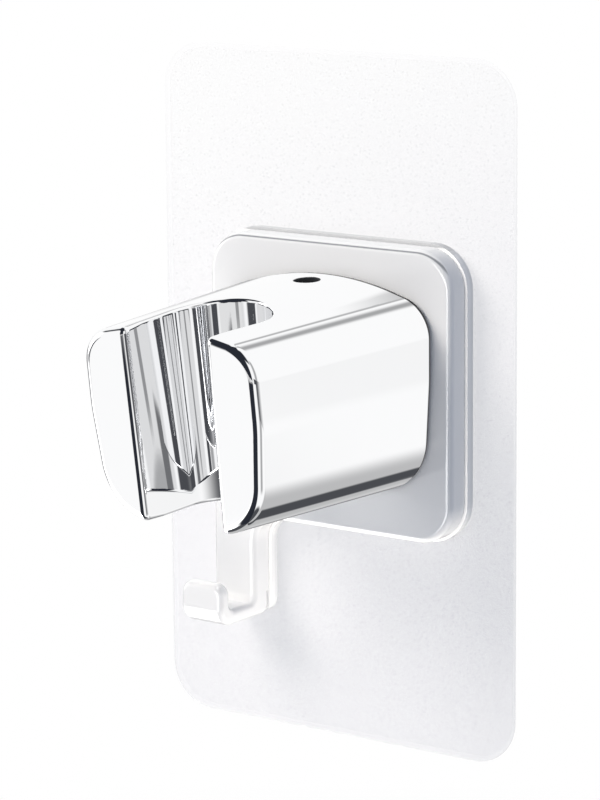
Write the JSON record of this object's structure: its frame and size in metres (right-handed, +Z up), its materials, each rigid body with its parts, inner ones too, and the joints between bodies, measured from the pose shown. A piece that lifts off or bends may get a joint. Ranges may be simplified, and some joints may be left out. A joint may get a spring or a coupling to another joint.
{
  "type": "shower head holder",
  "caption": "Stick-on wall holder for a hand shower: chrome cradle with a conical bore and hose slot, swivelling on a square white plate with a hook, on a clear adhesive film.",
  "frame": {"origin": "centre of the film's adhesive back, on the wall plane", "axes": "+Z up the wall, +Y into the wall, +X to the right seen from the room; the cradle points along -Y"},
  "size_m": [0.0862, 0.0614, 0.1418],
  "materials": {
    "adhesive": "clear tacky gel",
    "film": "clear film, slightly milky",
    "foam": "closed-cell foam tape",
    "white_plastic": "glossy white moulding",
    "steel": "bright zinc plated",
    "acetal": "natural moulding",
    "rubber": "matt black",
    "brass": "turned",
    "chrome": "mirror chrome plating on plastic"
  },
  "bodies": {
    "wall_base": {"adhesive_layer": "adhesive", "adhesive_film": "film", "bond_pad": "foam", "backing_plate": "white_plastic", "base_plate": "white_plastic", "plate_screw_1": "steel", "plate_screw_2": "steel", "plate_screw_3": "steel", "plate_screw_4": "steel", "spigot": "acetal", "friction_ring": "rubber", "thrust_washer": "acetal"},
    "cradle_body": {"cradle": "chrome", "rear_cap": "acetal", "thread_insert": "brass", "cap_screw_1": "steel", "cap_screw_2": "steel", "cap_screw_3": "steel", "cap_screw_4": "steel"},
    "lock_screw_body": {"lock_screw": "steel"}
  },
  "joints": [
    {"name": "cradle_swivel", "type": "hinge", "parent": "wall_base", "child": "cradle_body", "pos_m": [0.00355, -0.0087, 0.0042], "axis": [0, -1, 0], "range_deg": [-45, 45]},
    {"name": "lock_screw_travel", "type": "slide", "parent": "cradle_body", "child": "lock_screw_body", "axis": [0, 0, 1], "range_m": [0, 0.0015]}
  ]
}
